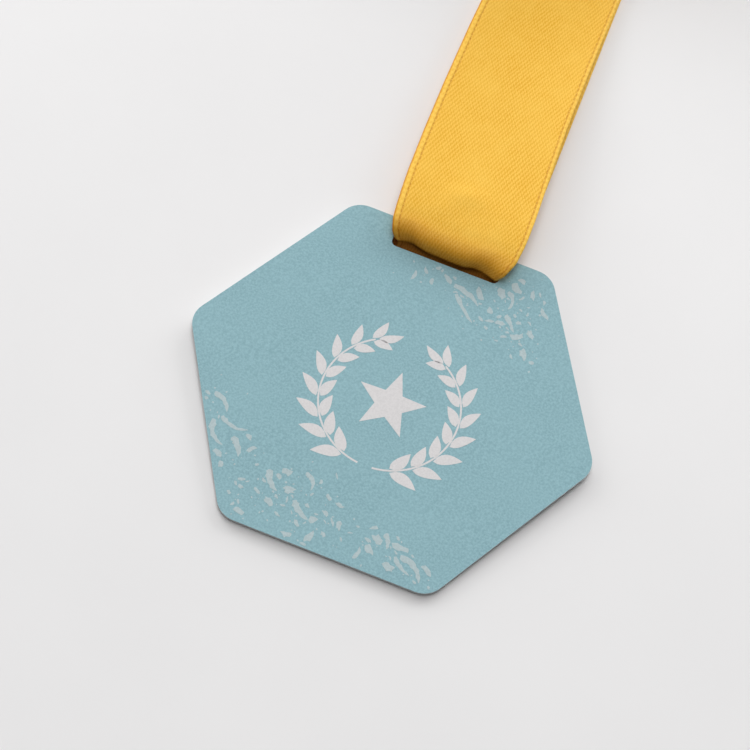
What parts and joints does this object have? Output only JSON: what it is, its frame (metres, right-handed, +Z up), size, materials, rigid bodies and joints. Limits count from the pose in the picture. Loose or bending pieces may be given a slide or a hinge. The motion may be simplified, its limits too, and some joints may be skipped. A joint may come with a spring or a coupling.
{
  "type": "finisher medal",
  "caption": "Thin hexagonal printed metal medal with a slot near one edge, hung on a satin neck ribbon that is threaded through the slot and rolled up.",
  "frame": {"origin": "on the table, under the middle of the box round the whole object", "axes": "+Z up from the table and out of the printed face, +Y from the plate along the ribbon to the roll, X along the slot"},
  "size_m": [0.076, 0.1888, 0.0299],
  "materials": {
    "sheet_metal": "bare cut sheet, satin",
    "face_print": "satin printed coat",
    "ribbon": "woven satin",
    "thread": "sewing thread"
  },
  "bodies": {
    "medal": {"plate": "sheet_metal", "printed_face": "face_print"},
    "ribbon": {"ribbon_slot_turn": "ribbon", "ribbon_front_run": "ribbon", "ribbon_rear_run": "ribbon", "ribbon_roll": "ribbon", "ribbon_lap": "ribbon", "seam_stitches": "thread"}
  },
  "joints": [
    {"name": "ribbon_swing", "type": "hinge", "parent": "medal", "child": "ribbon", "pos_m": [0, -0.02857, 0.002], "axis": [1, 0, 0], "range_deg": [-90, 90]}
  ]
}
